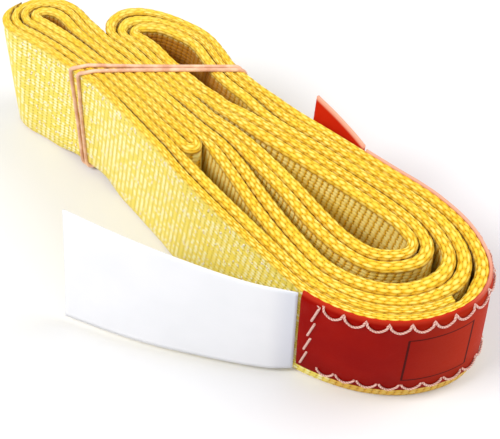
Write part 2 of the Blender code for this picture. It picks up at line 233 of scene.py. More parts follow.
# The bundle doesn't stand quite square: its foot sticks out in front and is drawn in under the tag.
stance = {"height": 25.4, "front": -1.8, "tagged": 0.9, "turnX": (28, 62), "along": 0.4, "flare": 0.12,
          "flareX": (40, 62), "flareY": -1, "labelY": (-19, -15)}


def foothold(x, y):
    # how far the foot lies from under the upper edge, in plan; the loose label has no part in it
    def between(value, span):
        return ease((value - span[0]) / (span[1] - span[0]))

    turnLit, flared = between(x, stance["turnX"]), between(x, stance["flareX"])
    held = between(y, stance["labelY"])
    alongX = stance["along"] + stance["flare"] * (y - stance["flareY"]) * flared
    alongY = stance["front"] + (stance["tagged"] - stance["front"]) * turnLit
    return held * alongX, held * alongY


def toFrame(planAndHeight):
    # plan millimetres to metres in the shared frame, with the foot set off sideways
    x, y, z = planAndHeight.T
    alongX, alongY = foothold(x, y)
    low = 1 - z / stance["height"]
    placed = np.column_stack([x + alongX * low, y + alongY * low, z])
    return (placed - np.array([*fold["origin"], 0])) * mm


# Meshes.

def meshFrom(name, verts, quads, uvs=None, ngons=()):
    # the quads come first, so their corners' UVs fill the first loops
    mesh = bpy.data.meshes.new(name)
    mesh.from_pydata(verts.tolist(), [], quads.tolist() + [list(n) for n in ngons])
    if uvs is not None:
        layer = mesh.uv_layers.new(name="weave")
        flat = np.zeros((len(mesh.loops), 2))
        flat[:uvs.shape[0] * 4] = uvs.reshape(-1, 2)
        layer.data.foreach_set("uv", flat.ravel())
    mesh.shade_smooth()
    mesh.update()
    obj = bpy.data.objects.new(name, mesh)
    bpy.context.scene.collection.objects.link(obj)
    return obj


def gridQuads(rows, columns, wrapRows=False, wrapColumns=False):
    # corner numbers of every cell, and the grid step of each corner for its UV
    i = np.arange(rows if wrapRows else rows - 1)[:, None]
    j = np.arange(columns if wrapColumns else columns - 1)[None, :]
    di, dj = np.array([0, 0, 1, 1]), np.array([0, 1, 1, 0])
    a = (i[..., None] + di) + 0 * j[..., None]
    b = (j[..., None] + dj) + 0 * i[..., None]
    corners = (a % rows) * columns + b % columns
    return corners.reshape(-1, 4), a.reshape(-1, 4), b.reshape(-1, 4)


def tubeAlong(name, points, outward, radii, sides, closed=False):
    # an oval carried along a path: cos times one radius sideways, sin times the other outward
    if closed:
        tangent = np.roll(points, -1, axis=0) - np.roll(points, 1, axis=0)
    else:
        tangent = np.gradient(points, axis=0)
    tangent /= np.linalg.norm(tangent, axis=1)[:, None]
    side = np.cross(tangent, outward)
    side /= np.linalg.norm(side, axis=1)[:, None]
    out = np.cross(side, tangent)
    turn = np.linspace(0, 2 * np.pi, sides, endpoint=False)
    rings = (points[:, None] + side[:, None] * (np.cos(turn) * radii[0])[None, :, None]
             + out[:, None] * (np.sin(turn) * radii[1])[None, :, None])
    quads, a, b = gridQuads(len(points), sides, wrapRows=closed, wrapColumns=True)
    step = np.linalg.norm(np.diff(points, axis=0, append=points[:1]), axis=1)
    along = np.concatenate([[0], np.cumsum(step)])
    uvs = np.stack([along[a], b / sides], axis=-1)
    last = (len(points) - 1) * sides
    caps = () if closed else (range(sides - 1, -1, -1), range(last, last + sides))
    return meshFrom(name, toFrame(rings.reshape(-1, 3)), quads[:, ::-1], uvs[:, ::-1],
                    [list(c)[::-1] for c in caps])


def finishPiece(obj, body, look, slot, *nodes):
    obj.data.materials.append(look)
    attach(obj, body)
    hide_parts(*nodes)
    return obj


# Shader maths.

class Wire:
    def __init__(self, tree, socket):
        self.tree, self.socket = tree, socket

    def make(self, kind, settings=None, **inputs):
        node = self.tree.nodes.new(kind)
        for key, value in (settings or {}).items():
            setattr(node, key, value)
        for key, value in inputs.items():
            numbered = key[0] == "n" and key[1:].isdigit()
            socket = node.inputs[int(key[1:]) if numbered else key]
            if isinstance(value, Wire):
                self.tree.links.new(value.socket, socket)
            else:
                socket.default_value = value
        return node

    def math(self, operation, *values):
        inputs = {f"n{i}": value for i, value in enumerate(values)}
        return Wire(self.tree, self.make("ShaderNodeMath", {"operation": operation}, **inputs).outputs[0])

    def __add__(self, other):
        return self.math("ADD", self, other)

    def __radd__(self, other):
        return self.math("ADD", other, self)

    def __sub__(self, other):
        return self.math("SUBTRACT", self, other)

    def __rsub__(self, other):
        return self.math("SUBTRACT", other, self)

    def __mul__(self, other):
        return self.math("MULTIPLY", self, other)

    def __truediv__(self, other):
        return self.math("DIVIDE", self, other)

    def __pow__(self, other):
        return self.math("POWER", self, other)

    def floor(self):
        return self.math("FLOOR", self)

    def fract(self):
        return self.math("FRACT", self)

    def abs(self):
        return self.math("ABSOLUTE", self)

    def sin(self):
        return self.math("SINE", self)

    def sqrt(self):
        return self.math("SQRT", self)

    def most(self, other):
        return self.math("MAXIMUM", self, other)

    def step(self, low, high):
        # 0 below low, 1 above high, eased between
        node = self.make("ShaderNodeMapRange", {"interpolation_type": "SMOOTHSTEP", "clamp": True},
                         n0=self, n1=low, n2=high, n3=0.0, n4=1.0)
        return Wire(self.tree, node.outputs[0])


class Look:
    def __init__(self, name, roughness, **fixed):
        self.material = bpy.data.materials.new(name)
        self.material.use_nodes = True
        self.tree = self.material.node_tree
        self.shader = self.tree.nodes["Principled BSDF"]
        self.shader.inputs["Roughness"].default_value = roughness
        for key, value in fixed.items():
            self.shader.inputs[key.replace("_", " ")].default_value = value
        self.wire = Wire(self.tree, None)

    def make(self, kind, settings=None, **inputs):
        return self.wire.make(kind, settings, **inputs)

    def uv(self):
        node = self.make("ShaderNodeUVMap", {"uv_map": "weave"})
        split = self.make("ShaderNodeSeparateXYZ", n0=Wire(self.tree, node.outputs[0]))
        return Wire(self.tree, split.outputs[0]), Wire(self.tree, split.outputs[1])

    def place(self):
        return Wire(self.tree, self.make("ShaderNodeTexCoord").outputs["Object"])

    def spot(self):
        # place in the shared frame, in millimetres
        split = self.make("ShaderNodeSeparateXYZ", n0=self.place())
        return [Wire(self.tree, out) * 1000 for out in split.outputs]

    def chance(self, x, y):
        node = self.make("ShaderNodeTexWhiteNoise", {"noise_dimensions": "2D"}, Vector=self.vector(x, y))
        return Wire(self.tree, node.outputs[0])

    def vector(self, x, y, z=0.0):
        return Wire(self.tree, self.make("ShaderNodeCombineXYZ", n0=x, n1=y, n2=z).outputs[0])

    def noise(self, at, scale, detail):
        node = self.make("ShaderNodeTexNoise", Vector=at, Scale=scale, Detail=detail)
        return Wire(self.tree, node.outputs[0])

    def mix(self, factor, a, b):
        node = self.make("ShaderNodeMix", {"data_type": "RGBA"}, n0=factor)
        for index, value in ((6, a), (7, b)):
            if isinstance(value, Wire):
                self.tree.links.new(value.socket, node.inputs[index])
            else:
                node.inputs[index].default_value = (*value, 1)
        return Wire(self.tree, node.outputs[2])

    def bump(self, height, distance, strength):
        node = self.make("ShaderNodeBump", Strength=strength, Distance=distance, Height=height)
        return Wire(self.tree, node.outputs[0])

    def link(self, **sockets):
        for key, value in sockets.items():
            self.tree.links.new(value.socket, self.shader.inputs[key.replace("_", " ")])
        return self.material


def srgb(r, g, b):
    # screen colour, 0 to 255, to the linear value a shader takes
    c = np.array([r, g, b]) / 255
    return tuple(float(x) for x in np.where(c <= 0.04045, c / 12.92, ((c + 0.055) / 1.055) ** 2.4))


# Webbing.
web = {
    "width": 25.4,
    "outerHalf": 0.75,      # free faces, kept under the tag and the threads
    "mostHalf": 1.2,
    "backedHalf": 1.9,      # inner side of a ply whose other side is free
    "leastHalf": 0.6,
    "endHalf": 0.72,        # how far the outer end tapers back
    "clear": 0.04,          # kept between two plies
    "freeFrom": 12,         # room at which a face counts as free
    "step": 0.335,
    "roomStep": 0.8,
    "ownStretch": 5,        # length of the strip that is not its own neighbour
    "settle": (3, 5),       # windows that even out the thickness, in room steps
    "lipPoints": 11,
    "facePoints": 7,
    "footPoints": 5,
    "lipYarn": 0.576,
    "faceYarn": 0.8,
    "lipFloat": 1.8,        # length of one yarn float on the edge
    "faceFloat": 1.15,      # and on the faces
    "lean": 0.15,           # shift from one yarn to the next on the faces, in floats
    "zip": 0.26,            # shift of every second yarn on the edge
    "sway": 0.18,           # slow wander of the floats along the strip
    "jitter": 0.07,         # each yarn's own shift
    "swayRates": (0.21, 0.047, 1.3),
    "yarnTurn": 2.4,
    "domeAcross": 0.6,
    "domeAlong": 0.7,
    "relief": 0.22,
    "reliefBase": 0.6,      # the part of a float's height that lies below the plain lip
    "reliefHalf": 0.5,      # plies thinner than this have less relief
    "lipTall": 0.95,        # height of the upper and of the lower lip, in half thicknesses
    "footTall": 0.8,
    "lipFull": 0.8,         # under 1 the upper lip is fuller than round
    "highs": 0.3,           # rise and fall of the upper edge
    "highRuns": (23, 61, 9.7),
    "endTaper": 6.0,
    "lipSpan": 2.88,        # length of a lip round the section
    "lipExtra": 1.05,
    "lapPastTurn": 34,      # length of the sewn front past the end turn
    "eyeStart": (4, 9),     # where the painted shade in the far lobes' eyes sets in and where it ends
    "eyeStop": (-4, 14),
    "calmX": (-45.0, 15.0),     # weave fades out of focus towards the far end
    "depthZ": (2.0, 21.0),      # painted shade on the faces, darker towards the foot
    "pit": srgb(108, 60, 2),
    "body": srgb(230, 176, 16),
    # lit tone of the floats for the painted highlight; also the tone of the lighter patches
    "light": srgb(251, 219, 66),
    # painted highlight at the middle of the floats and on the lit walls
    "floatHighlight": srgb(255, 246, 172),
    "shade": srgb(214, 146, 6),
    # painted shade in the creases between plies
    "creaseShade": srgb(146, 86, 2),
    "olive": srgb(150, 126, 14),
    # painted shade inside the far lobes' eyes
    "eyeShade": srgb(186, 116, 2),
    # painted light: the sewn front, paler where the lamp falls on it
    "litFront": srgb(250, 231, 96),
    # painted highlight flecks on the sewn front
    "pale": srgb(255, 252, 214),
}
webGirth = 2 * (web["width"] + web["lipExtra"])
faceSpan = webGirth / 2 - web["lipSpan"]
# the last stretch of the strip, whose outer face is the sewn front
lapFaceFrom = stripLength - lengthsOf(outerTurn[outerTurn[:, 1] < 0])[-1] - web["lapPastTurn"]


def roomBeside(line):
    # distance along the normal, to the right and to the left, to the next stretch of the strip
    tangent, side, along = tangentsOf(line), rightOf(line), lengthsOf(line)
    nearest, none = 0.3, 99
    away = line[None] - line[:, None]
    out = (away * side[:, None]).sum(axis=2)
    past = np.abs((away * tangent[:, None]).sum(axis=2))
    other = (past < web["roomStep"]) & (np.abs(along[None] - along[:, None]) > web["ownStretch"])
    right = np.where(other & (out > nearest), out, none).min(axis=1)
    left = np.where(other & (out < -nearest), -out, none).min(axis=1)
    return right, left


def halfThickness(line):
    # half of the room to a neighbour, or the free-face value where there is none
    coarse = evenLine(line, web["roomStep"])
    at = lengthsOf(coarse)
    sides = []
    right, left = roomBeside(coarse)
    for room, other in ((right, left), (left, right)):
        most = np.where(other > web["freeFrom"], web["backedHalf"], web["mostHalf"])
        filled = np.clip(room / 2 - web["clear"], web["leastHalf"], most)
        half = np.where(room > web["freeFrom"], web["outerHalf"], filled)
        half = smoothed(lowest(half, web["settle"][0]), web["settle"][1])
        sides.append(np.interp(lengthsOf(line), at, half))
    return sides


def floatHeight(u, v):
    # a dome: the root of one less a share of the square across the yarn and of a power along the float
    k = np.floor(v / web["lipYarn"])
    across = 2 * (v / web["lipYarn"] - k) - 1
    fast, slow, swing = web["swayRates"]
    wander = web["sway"] * np.sin(u * fast + swing * np.sin(u * slow))
    wander = wander + web["jitter"] * np.sin(k * web["yarnTurn"])
    along = 2 * ((u / web["lipFloat"] + k % 2 * web["zip"] + wander) % 1) - 1
    return np.sqrt(np.clip(1 - web["domeAcross"] * across ** 2 - web["domeAlong"] * np.abs(along) ** 3, 0, 1))


# One round of the section: the upper lip, the right face, the lower lip and the left face.
lipAngles = np.linspace(np.pi, 0, web["lipPoints"])
footAngles = np.linspace(0, -np.pi, web["footPoints"])
faceShares = np.linspace(1, 0, web["facePoints"] + 2)[1:-1]


def sectionGirth():
    # length round the section to each of its points, for the weave
    lip, down = web["lipSpan"], faceSpan * (1 - faceShares)
    return np.concatenate([np.linspace(0, lip, len(lipAngles)), lip + down,
                           lip + faceSpan + np.linspace(0, lip, len(footAngles)), 2 * lip + faceSpan + down])


def sectionPlaces(right, left, top, foot):
    # across and up, for each point of the section at each step of the strip
    middle, half = (right - left) / 2, (right + left) / 2
    high, low = web["lipTall"] * half, web["footTall"] * half
    face = np.ones(len(faceShares))
    across = np.concatenate([np.cos(lipAngles), face, np.cos(footAngles), -face])
    lipZ = top[:, None] - high[:, None] * (1 - np.sin(lipAngles) ** web["lipFull"])
    footZ = foot[:, None] + low[:, None] * (1 + np.sin(footAngles))
    upper, lower = top - high, foot + low
    faceZ = lower[:, None] + (upper - lower)[:, None] * faceShares
    x = middle[:, None] + half[:, None] * across
    return x, np.concatenate([lipZ, faceZ, footZ, faceZ[:, ::-1]], axis=1), half


def stripEdges(line):
    # heights of the upper edge, which is uneven, and of the lower one, both pressed in beside the band
    along, pressed = lengthsOf(line), pressedAt(line)
    middling, slow, quick = web["highRuns"]
    rise = web["highs"] * (np.sin(along / middling) * np.sin(along / slow + 1) + 0.4 * np.sin(along / quick))
    return web["width"] - bandLie["above"] * pressed + rise * (1 - pressed), bandLie["below"] * pressed


def webbingMesh():
    # a section with a full round lip above and a smaller one below, carried along the folded route
    line = evenLine(route, web["step"])
    along, side, girth = lengthsOf(line), rightOf(line), sectionGirth()
    right, left = halfThickness(line)
    tail = ease((along - (along[-1] - web["endTaper"])) / web["endTaper"])
    left = left * (1 - tail) - web["endHalf"] * tail
    x, z, half = sectionPlaces(right, left, *stripEdges(line))
    # the floats stand out of the upper lip; a hair more of girth keeps each point on one yarn
    lip = slice(len(lipAngles))
    knuckle = floatHeight(along[:, None], girth[None, lip] + 1e-6)
    thin = np.minimum(1, half / web["reliefHalf"])[:, None]
    bulge = (knuckle - web["reliefBase"]) * web["relief"] * thin
    x[:, lip] += bulge * np.cos(lipAngles)
    z[:, lip] += bulge * np.sin(lipAngles)
    plan = line[:, None] + side[:, None] * x[..., None]
    verts = np.concatenate([plan, z[..., None]], axis=2)
    quads, a, b = gridQuads(len(line), len(girth), wrapColumns=True)
    uvs = np.stack([along[a], np.append(girth, webGirth)[b]], axis=-1)
    last = (len(line) - 1) * len(girth)
    caps = [list(range(len(girth))), list(range(last + len(girth) - 1, last - 1, -1))]
    return meshFrom("foldedWebbing", toFrame(verts.reshape(-1, 3)), quads, uvs, caps)


def weaveFloats(look, u, v, lip):
    # the float under each point: place across it, place along it and a chance value of its own
    row = v * (1 / web["faceYarn"] + lip * (1 / web["lipYarn"] - 1 / web["faceYarn"]))
    k = row.floor()
    fast, slow, swing = web["swayRates"]
    wander = (u * fast + (u * slow).sin() * swing).sin() * web["sway"]
    wander = wander + (k * web["yarnTurn"]).sin() * web["jitter"]
    shift = k * web["lean"] * (1 - lip) + (k / 2).fract() * (2 * web["zip"]) * lip
    pace = 1 / web["faceFloat"] + lip * (1 / web["lipFloat"] - 1 / web["faceFloat"])
    run = u * pace + shift + wander
    return row.fract() * 2 - 1, run.fract() * 2 - 1, look.chance(run.floor(), k)


def insideEyes(u, v):
    # 1 on the inner faces of the far lobes' eyes, where the painted shade goes
    (begin, full), (fade, end) = web["eyeStart"], web["eyeStop"]
    eyes = sum(u.step(a + begin, a + full) * (1 - u.step(b + fade, b + end)) for a, b in lobeEyes)
    inner = v.step(web["lipSpan"] - 0.01, web["lipSpan"] + 0.5)
    return eyes * inner * (1 - v.step(webGirth / 2 - 0.5, webGirth / 2))


def webbingLook():
    # the relief's domes, each with its own brightness, ribs on the faces and dots where float ends meet;
    # painted highlights on the floats and on one side of each rib, painted shade low down, in the creases and
    # inside the far lobes' eyes
    look = Look("yellowWeave", 0.5, Sheen_Weight=0.04, Specular_IOR_Level=0.25)
    u, v = look.uv()
    lip = 1 - v.step(web["lipSpan"] - 0.01, web["lipSpan"] + 0.01)
    across, along, own = weaveFloats(look, u, v, lip)
    flat = across * across
    dome = (1 - flat * web["domeAcross"] - along.abs() ** 3 * web["domeAlong"]).most(0.0).sqrt()
    fibres = look.noise(look.vector(u * 0.6, v * 9.0), 1.0, 2.0)
    patches = look.noise(look.vector(u * 0.1, v * 0.2, 3.0), 1.0, 3.0)
    lapped = u.step(lapFaceFrom, lapFaceFrom + 4)
    front = lapped * v.step(webGirth - faceSpan - 0.6, webGirth - faceSpan)
    wall = (1 - lip) * (1 - front)
    x, y, z = look.spot()
    calm = (1 - x.step(*web["calmX"])) * lip
    # painted shade mask: 1 at the foot, fading out upwards, none on the sewn front
    depth = (1 - z.step(*web["depthZ"])) * (1 - front)
    # painted light: a highlight spot off the middle of each float, and the lit side of each rib on the faces
    shown = (1 - (along + 0.1) * (along + 0.1) * 1.1 - flat * 0.8).step(0.1, 1.0)
    rib = along.step(-1.0, -0.5) * (1 - along.step(0.0, 0.9)) * (1 - flat * 0.3)
    bright = rib + (lip + front) * (shown - rib)
    bright = bright + calm * 0.5 * (0.7 - bright)
    # painted highlight towards the lit tone, then the float-middle highlight, stronger on the lit walls above
    # the painted shade
    tone = look.mix(bright * (0.7 + own * 0.3), web["body"], web["light"])
    tone = look.mix(bright * (own * 0.35 + wall * (1 - depth) * 0.65), tone, web["floatHighlight"])
    tone = look.mix(patches.step(0.45, 0.7) * 0.3, tone, web["light"])
    # painted shade towards the foot
    tone = look.mix(depth * 0.45, tone, web["shade"])
    # painted light: the sewn front, paler where the lamp falls on it
    tone = look.mix(front * 0.8, tone, web["litFront"])
    # painted highlight flecks on the brightest floats of the sewn front
    tone = look.mix(front * bright * own.step(0.2, 0.75) * 0.85, tone, web["pale"])
    pits = (flat + along ** 4).step(1.05, 1.7)
    tone = look.mix(pits * (0.85 - lip * 0.2 - calm * 0.4), tone, look.mix(front, web["pit"], web["olive"]))
    # painted shade in the creases along both sides of the upper lip, except on one side of the lip along the
    # sewn lap
    side = v * (2 / web["lipSpan"]) - 1
    free = lapped * (1 - side.step(-0.2, 0.2))
    tone = look.mix(side.abs().step(0.45, 1.0) * lip * (1 - free) * 0.6, tone, web["creaseShade"])
    # painted shade inside the far lobes' eyes
    tone = look.mix(insideEyes(u, v) * 0.88, tone, web["eyeShade"])
    height = dome + fibres * 0.15
    return look.link(Base_Color=tone, Roughness=0.6 - dome * 0.15, Normal=look.bump(height, 0.0003, 0.7))


webbing = finishPiece(webbingMesh(), "sling", webbingLook(), "webbing", "webbing")
print("webbing", len(webbing.data.vertices), "points")

# Sewing of the lap: slanting pale stitches in four rows on the front run.
splice = {"rows": 4, "fromX": 44, "toX": -24, "step": 0.26, "pitch": 4.4, "sway": 4.6, "radius": 0.24,
          "sides": 6, "out": 0.68, "sunk": 0.55, "lowest": 1.0, "tone": srgb(255, 251, 226),
          "shade": srgb(226, 178, 70)}
halfWay = int(np.argmax(outerTurn[:, 0]))
frontRun = outerTurn[halfWay:]
backRun = outerTurn[:halfWay]
lapLine = np.vstack([frontRun[frontRun[:, 0] < splice["fromX"]],
                     leftTip[:int(np.argmin(leftTip[:, 0]))]])
lapLine = evenLine(lapLine[lapLine[:, 0] > splice["toX"]], splice["step"])


def spliceThread(row):
    # zigzag up and down its row, riding on the face at mid stitch and dipping in where it turns
    along = lengthsOf(lapLine)
    phase = (along / splice["pitch"] + 0.5 * row) % 1
    swing = np.abs(2 * phase - 1)
    height = web["width"] * (row + 0.5) / splice["rows"] + splice["sway"] * (swing - 0.5)
    height = np.maximum(height, splice["lowest"] + bandLie["below"] * pressedAt(lapLine))
    dip = np.abs(2 * ((2 * swing) % 1) - 1)
    out = splice["out"] - splice["sunk"] * ease((dip - 0.2) / 0.4)
    facing = -rightOf(lapLine)
    points = np.column_stack([lapLine + facing * out[:, None], height])
    outward = np.column_stack([facing, np.zeros(len(facing))])
    radii = (splice["radius"], splice["radius"])
    return tubeAlong(f"lapStitches{row + 1}", points, outward, radii, splice["sides"])


def threadLook(name, tone, shade):
    # two plies laid round each other: a slanting stripe in length and girth
    look = Look(name, 0.6, Sheen_Weight=0.2)
    u, v = look.uv()
    lay = ((u * 1.9 + v * 2.0) * math.tau).sin()
    fuzz = look.noise(look.place(), 4000.0, 2.0)
    colour = look.mix(lay.step(-1.0, 0.2) * 0.8 + 0.2, shade, tone)
    return look.link(Base_Color=colour, Normal=look.bump(lay * 0.5 + fuzz * 0.4, 0.00012, 0.7))


paleThread = threadLook("paleThread", splice["tone"], splice["shade"])
for row in range(splice["rows"]):
    finishPiece(spliceThread(row), "sling", paleThread, "splice_thread", f"splice_thread_{row + 1}")
print("lap sewing done")

# Tag round the outer turn.
tag = {"bottom": 3.5, "top": 25.6, "thick": 0.45, "frontX": 49.75, "backX": 37.6, "out": 1.025,
       "step": 0.4, "seams": (4.8, 5.2, 22.5, 23), "rows": (5, 16, 9), "lip": 1.6, "lipIn": 0.35,
       "swell": 0.12, "bellyFrom": 4, "bellyTall": 18, "bellyRun": 7, "ripple": 0.06, "rippleZ": 23.2,
       "rippleTall": 1.4, "rippleLong": 4.3, "box": (16.5, 26.5), "boxZ": (7.2, 20.4), "rule": (0.13, 0.2),
       "rimTurn": (0.4, 0.62), "faceTurn": (0.55, 0.8), "lowShadeZ": (3.0, 10.0),
       # painted light: the colour where the tag turns round the end is lit, the low colour is painted shade,
       # and the two rim colours are a painted highlight along the upper rim
       "tone": srgb(143, 5, 0), "bright": srgb(172, 22, 3), "turnLit": srgb(192, 50, 12),
       "low": srgb(118, 8, 4), "rimGlintBack": srgb(246, 186, 156), "rimGlintFront": srgb(196, 52, 30),
       "ink": srgb(52, 8, 6)}
sewnLine = evenLine(np.vstack([backRun[backRun[:, 0] > tag["backX"]],
                               frontRun[frontRun[:, 0] > tag["frontX"]]]), tag["step"])
tagLength = lengthsOf(sewnLine)[-1]


def uprightSheet(name, line, facing, heights, bulge):
    # a plan line swept up, pushed out along its facing by the bulge of each point
    plan = line[:, None] + facing[:, None] * bulge[..., None]
    z = np.broadcast_to(heights, bulge.shape)
    verts = np.concatenate([plan, z[..., None]], axis=2)
    quads, a, b = gridQuads(len(line), bulge.shape[1])
    uvs = np.stack([lengthsOf(line)[a], z[a, b]], axis=-1)
    return meshFrom(name, toFrame(verts.reshape(-1, 3)), quads, uvs)


def thicken(obj, thickness):
    solid = obj.modifiers.new("thickness", "SOLIDIFY")
    solid.thickness = thickness * mm
    solid.offset = 0
    solid.use_even_offset = True
    return obj


def tagSheet():
    # rolls in at its upper edge and swells a little between the seams
    ends = [tag["bottom"], *tag["seams"], tag["top"]]
    z = np.concatenate([np.linspace(*span, count)
                        for span, count in zip(zip(ends[::2], ends[1::2]), tag["rows"])])
    along = lengthsOf(sewnLine)
    roll = -tag["lipIn"] * ease((z - (tag["top"] - tag["lip"])) / tag["lip"])
    belly = tag["swell"] * np.sin(np.pi * np.clip((z - tag["bellyFrom"]) / tag["bellyTall"], 0, 1))
    swell = 0.6 + 0.4 * np.sin(along / tag["bellyRun"])
    waves = np.sin(along * 2 * np.pi / tag["rippleLong"])
    near = np.exp(-((z - tag["rippleZ"]) / tag["rippleTall"]) ** 2)
    bulge = (tag["out"] + roll[None, :] + belly[None, :] * swell[:, None]
             + tag["ripple"] * (waves[:, None] * near[None, :]))
    return thicken(uprightSheet("ratingTag", sewnLine, -rightOf(sewnLine), z, bulge), tag["thick"])


def vinylLook(name, tone, bright, boxed):
    # blotched vinyl with a painted highlight along the upper rim; the sewn part has a blank ruled box
    look = Look(name, 0.5, Specular_IOR_Level=0.02)
    u, v = look.uv()
    blotch = look.noise(look.place(), 160.0, 3.0)
    grain = look.noise(look.place(), 2600.0, 3.0)
    # painted highlight along the upper rim, paler towards the back of the tag and redder towards the front
    edge = v.step(tag["top"] - 1.1, tag["top"] - 0.3)
    colour = look.mix(blotch.step(0.3, 0.75) * 0.35, tone, bright)
    rim = look.mix(u.step(*(tagLength * x for x in tag["rimTurn"])), tag["rimGlintBack"], tag["rimGlintFront"])
    colour = look.mix(edge * 0.8, colour, rim)
    if boxed:
        # painted light where the tag turns round the end, painted shade low down
        turn = 1 - u.step(*(tagLength * x for x in tag["faceTurn"]))
        colour = look.mix(turn * (1 - edge) * 0.7, colour, tag["turnLit"])
        # painted shade low down on the tag
        colour = look.mix((1 - v.step(*tag["lowShadeZ"])) * 0.5, colour, tag["low"])
        # thin dark lines of the box
        start, stop = tagLength - tag["box"][1], tagLength - tag["box"][0]
        foot, head = tag["boxZ"]
        inside = u.step(start - 0.05, start) * (1 - u.step(stop, stop + 0.05))
        upright = sum(1 - (u - at).abs().step(*tag["rule"]) for at in (start, stop))
        tall = v.step(foot - 0.2, foot) * (1 - v.step(head, head + 0.2))
        level = sum(1 - (v - at).abs().step(*tag["rule"]) for at in (foot, head))
        ink = upright * tall + level * inside
        colour = look.mix(ink.step(0.2, 0.8) * 0.85, colour, tag["ink"])
    rough = 0.4 + grain * 0.2
    return look.link(Base_Color=colour, Roughness=rough, Normal=look.bump(grain * 0.5 + blotch, 0.0001, 0.35))


redVinyl = vinylLook("redVinyl", tag["tone"], tag["bright"], True)
ratingTag = finishPiece(tagSheet(), "sling", redVinyl, "tag", "rating_tag")
print("tag", round(tagLength, 1), "mm long")

# Tag sewing: hanging scallops along both edges and slanting stitches across the ends.
seam = {"pitch": 3.2, "depth": 1.9, "radius": 0.21, "flatten": 0.85, "sides": 7, "inset": 2.2, "end": 3.5,
        "upper": 25.1, "lower": 5.9, "step": 0.14, "arcTurn": 0.11, "upright": 5.2, "uprightPoints": 110,
        "uprightTurn": 0.09, "margin": 1.1, "slant": 0.7, "rake": 1.8, "proud": 0.2, "sunk": 0.5,
        "tone": srgb(240, 196, 180), "shade": srgb(192, 106, 88)}
seamRadii = (seam["radius"], seam["radius"] * seam["flatten"])


def seamOut(phase, turn):
    # distance off the webbing: on the vinyl at mid stitch, down through it at both ends
    sunk = 1 - ease(np.minimum(phase, 1 - phase) / turn)
    return tag["out"] + tag["thick"] / 2 + seam["proud"] - seam["sunk"] * sunk


def scallops(name, height):
    # arcs hanging from points one stitch apart
    along = lengthsOf(sewnLine)
    part = evenLine(sewnLine[(along > seam["end"]) & (along < along[-1] - seam["end"])], seam["step"])
    run = lengthsOf(part)
    count = max(1, round(run[-1] / seam["pitch"]))
    phase = (run / run[-1] * count) % 1
    hang = np.sin(np.pi * phase) ** 0.8
    facing = -rightOf(part)
    plan = part + facing * seamOut(phase, seam["arcTurn"])[:, None]
    points = np.column_stack([plan, height - seam["depth"] * hang])
    outward = np.column_stack([facing, np.zeros(len(part))])
    return tubeAlong(name, points, outward, seamRadii, seam["sides"])


def uprightStitches(name, inset):
    # separate slanting stitches one above the other, in a row that leans over too
    along = lengthsOf(sewnLine)
    at = int(np.argmin(np.abs(along - inset)))
    facing = -rightOf(sewnLine)[at]
    z = np.linspace(tag["bottom"] + seam["margin"], tag["top"] - seam["margin"], seam["uprightPoints"])
    share = (z - z[0]) / (z[-1] - z[0])
    phase = share * round((z[-1] - z[0]) / seam["upright"]) % 1
    plan = sewnLine[at] + facing * seamOut(phase, seam["uprightTurn"])[:, None]
    sideways = np.array([-facing[1], facing[0]])
    drift = seam["slant"] * (phase - 0.5) + seam["rake"] * (share - 0.5)
    points = np.column_stack([plan + sideways * drift[:, None], z])
    outward = np.tile([*facing, 0.0], (len(z), 1))
    return tubeAlong(name, points, outward, seamRadii, seam["sides"])


tagThread = threadLook("tagThread", seam["tone"], seam["shade"])
tagSeams = {"tag_stitch_upper": scallops("tagScallopsUpper", seam["upper"]),
            "tag_stitch_lower": scallops("tagScallopsLower", seam["lower"]),
            "tag_stitch_back": uprightStitches("tagUprightBack", seam["inset"]),
            "tag_stitch_front": uprightStitches("tagUprightFront", tagLength - seam["inset"])}
for node, thread in tagSeams.items():
    finishPiece(thread, "sling", tagThread, "tag_thread", node)
print("tag sewing done")

# Free tail of the tag.
tail = {"root": (36.748, 13.281), "route": [(33.8, 14.0), (28.6, 14.95), (23.6, 15.6)], "step": 0.5,
        "rows": 24, "wave": 0.25, "waveTall": 25, "tone": srgb(204, 36, 12), "bright": srgb(224, 60, 24)}
tailLine = smoothLine(np.vstack([tail["root"], tail["route"]]), tail["step"])
tailZ = np.linspace(tag["bottom"], tag["top"], tail["rows"])
tailLength = lengthsOf(tailLine)[-1]
tailShare = (lengthsOf(tailLine) / tailLength)[:, None]
tailBulge = tail["wave"] * tailShare * np.sin(tailZ / tail["waveTall"] * np.pi)[None, :]
tagTail = thicken(uprightSheet("tagTail", tailLine, -rightOf(tailLine), tailZ, tailBulge), tag["thick"])
tailVinyl = vinylLook("redVinylTail", tail["tone"], tail["bright"], False)
finishPiece(tagTail, "tail", tailVinyl, "tag", "tag_tail")
print("tail", round(tailLength, 1), "mm long")

# Loose blank label.
label = {"root": (49.524, -14.478), "route": [(43.6, -19.0), (33.5, -24.8), (25, -29.0), (14.2, -33.5)],
         "bottom": 1.4, "top": 25.0, "step": 0.5, "rows": 30, "lean": 3.0, "thick": 0.32, "cockle": 0.22,
         "cockleLong": 5.2, "cockleTall": 9, "cockleShift": 0.8,
         "tone": srgb(240, 240, 243), "cloud": srgb(231, 232, 235), "rootShade": srgb(190, 197, 214)}
labelHeight = label["top"] - label["bottom"]


def labelSheet():
    # leans more and more towards its free end, with a slow cockle along it
    line = smoothLine(np.vstack([label["root"], label["route"]]), label["step"])
    z = np.linspace(label["bottom"], label["top"], label["rows"])
    along = lengthsOf(line)
    share = (along / along[-1])[:, None]
    level = ((z - label["bottom"]) / labelHeight * 2 - 1)[None, :]
    waves = np.sin(along / label["cockleLong"])[:, None]
    cockle = label["cockle"] * waves * np.sin(z / label["cockleTall"] + label["cockleShift"])[None, :] * share
    obj = uprightSheet("blankLabel", line, rightOf(line), z, label["lean"] * share * level + cockle)
    return thicken(obj, label["thick"]), along[-1]


